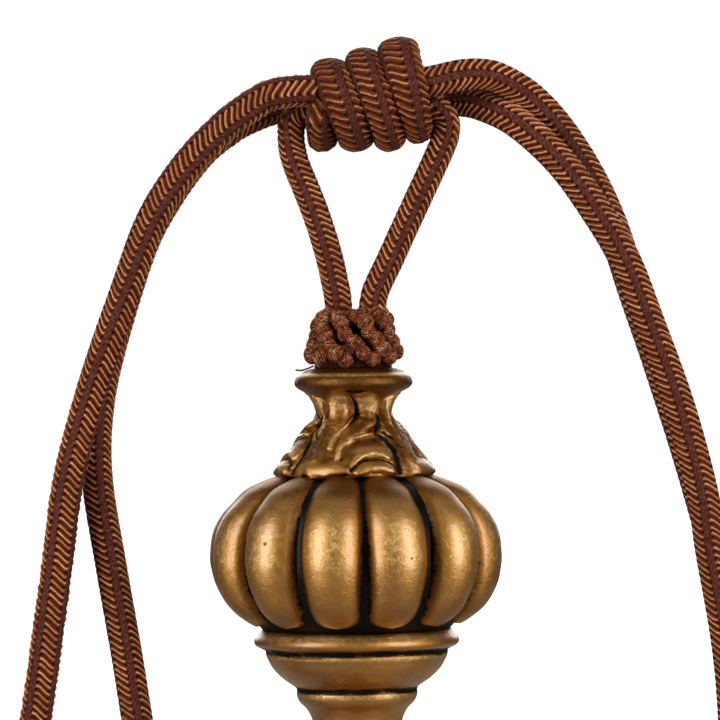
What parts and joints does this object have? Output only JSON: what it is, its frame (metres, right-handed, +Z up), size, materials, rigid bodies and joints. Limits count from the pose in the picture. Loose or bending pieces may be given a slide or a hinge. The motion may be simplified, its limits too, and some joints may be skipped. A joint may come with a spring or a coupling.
{
  "type": "curtain tieback tassel",
  "caption": "Hanging curtain tieback tassel: gilt moulded head with lobes and leaves, bullion skirt, plaited collar, cord V, barrel knot and side loops.",
  "frame": {"origin": "the point on the knot's top where the tassel is held up", "axes": "+Z up, -Y towards the viewer, +X to the viewer's right"},
  "size_m": [0.2101, 0.0728, 0.3675],
  "materials": {
    "cord": "woven cord with copper ribs and maroon bands, silky",
    "plait": "plaited twisted yarn, silky",
    "gilt": "moulded resin, antique gold with black in the recesses",
    "fringe": "twisted bullion fringe, silky"
  },
  "bodies": {
    "root": {"knot": "cord", "leg_left": "cord", "leg_right": "cord", "loop_left": "cord", "loop_right": "cord", "collar": "plait", "head": "gilt", "skirt": "fringe"}
  },
  "joints": []
}
